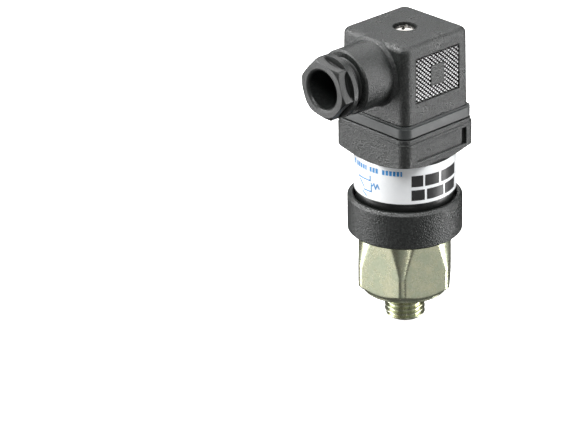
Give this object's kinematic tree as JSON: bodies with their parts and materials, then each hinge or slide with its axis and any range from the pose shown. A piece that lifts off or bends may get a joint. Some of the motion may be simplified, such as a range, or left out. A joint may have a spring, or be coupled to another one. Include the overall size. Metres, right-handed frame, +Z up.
{
  "type": "pressure switch",
  "caption": "Mechanical pressure switch with a hexagon port body and threaded stud, a round neck with a change-over microswitch, and a square screw-held cable socket with a side gland.",
  "frame": {"origin": "on the switch's axis, at the face of the port body that seats on the machine's port", "axes": "+Z up the switch's axis from the port to the cable socket; the cable leaves along -Y; the socket's grips are on the X faces"},
  "size_m": [0.034, 0.05, 0.0917],
  "materials": {
    "zinc_plated_steel": "zinc plated, olive-yellow passivated",
    "turned_steel": "fine turned",
    "spring_steel": "drawn",
    "nickel_steel": "bright nickel plated",
    "brass": "turned",
    "tinned_brass": "tin plated",
    "housing_plastic": "black glass-filled polyamide, grained",
    "collar_plastic": "black, satin",
    "gland_plastic": "black polyamide, satin",
    "insert_plastic": "black polyamide",
    "switch_plastic": "dark red phenolic",
    "button_plastic": "ivory acetal",
    "label_film": "printed white film",
    "gasket_rubber": "grey-black profile rubber",
    "rubber": "black nitrile"
  },
  "bodies": {
    "base": {"port_body": "zinc_plated_steel", "diaphragm": "rubber", "diaphragm_ring": "turned_steel", "adjuster_plate": "turned_steel", "range_spring": "spring_steel", "neck_seal": "rubber", "clamp_collar": "collar_plastic", "neck_sleeve": "housing_plastic", "type_label": "label_film", "switch_bracket": "turned_steel", "switch_case": "switch_plastic", "switch_cover": "switch_plastic", "common_terminal": "tinned_brass", "normally_closed_terminal": "tinned_brass", "normally_open_terminal": "tinned_brass", "link_strip": "tinned_brass", "earth_strip": "tinned_brass", "switch_screws": "nickel_steel", "switch_nuts": "nickel_steel", "contact_base": "housing_plastic", "contact_pins": "tinned_brass", "earth_pin": "tinned_brass", "base_nut": "brass", "profile_gasket": "gasket_rubber"},
    "plunger": {"plunger": "turned_steel"},
    "spring_plate": {"spring_plate": "turned_steel"},
    "adjusting_screw": {"adjusting_screw": "brass"},
    "switch_button": {"switch_button": "button_plastic"},
    "snap_blade": {"snap_blade": "spring_steel"},
    "socket": {"connector_housing": "housing_plastic", "terminal_insert": "insert_plastic", "line_terminals": "brass", "earth_terminal": "brass", "terminal_screws": "nickel_steel", "screw_seal": "rubber", "gland_seal": "rubber"},
    "housing_screw": {"housing_screw": "nickel_steel"},
    "gland_washer": {"gland_washer": "nickel_steel"},
    "gland_nut": {"gland_nut": "gland_plastic"}
  },
  "joints": [
    {"name": "plunger_slide", "type": "slide", "parent": "base", "child": "plunger", "axis": [0, 0, 1], "range_m": [0, 0.0004], "stiffness_N_per_m": 1500, "springref_m": -0.003, "deforming": ["range_spring"]},
    {"name": "button_slide", "type": "slide", "parent": "base", "child": "switch_button", "axis": [0, 0, 1], "range_m": [0, 0.0004]},
    {"name": "blade_tilt", "type": "hinge", "parent": "base", "child": "snap_blade", "pos_m": [-0.0069, 0, 0.03615], "axis": [0, -1, 0], "range_deg": [0, 3.32]},
    {"name": "range_slide", "type": "slide", "parent": "base", "child": "spring_plate", "axis": [0, 0, 1], "range_m": [-0.00201, 0.00101], "deforming": ["range_spring"]},
    {"name": "range_turn", "type": "hinge", "parent": "spring_plate", "child": "adjusting_screw", "pos_m": [0, 0, 0.02], "axis": [0, 0, 1], "range_deg": [-720, 360]},
    {"name": "socket_lift", "type": "slide", "parent": "base", "child": "socket", "axis": [0, 0, 1], "range_m": [0, 0.014]},
    {"name": "housing_screw_turn", "type": "hinge", "parent": "socket", "child": "housing_screw", "pos_m": [0, 0, 0.08], "axis": [0, 0, 1], "continuous": true},
    {"name": "gland_feed", "type": "slide", "parent": "socket", "child": "gland_washer", "axis": [0, -1, 0], "range_m": [-0.00212, 0.00142]},
    {"name": "gland_nut_turn", "type": "hinge", "parent": "gland_washer", "child": "gland_nut", "pos_m": [0, -0.0271, 0.07222], "axis": [0, -1, 0], "range_deg": [-540, 360]}
  ],
  "couplings": [
    {"joint": "button_slide", "follows": "plunger_slide", "ratio": 1},
    {"joint": "blade_tilt", "follows": "plunger_slide", "rad_per_m": 144.93},
    {"joint": "range_slide", "follows": "range_turn", "m_per_rad": 0.00015915},
    {"joint": "gland_feed", "follows": "gland_nut_turn", "m_per_rad": 0.00022441}
  ]
}
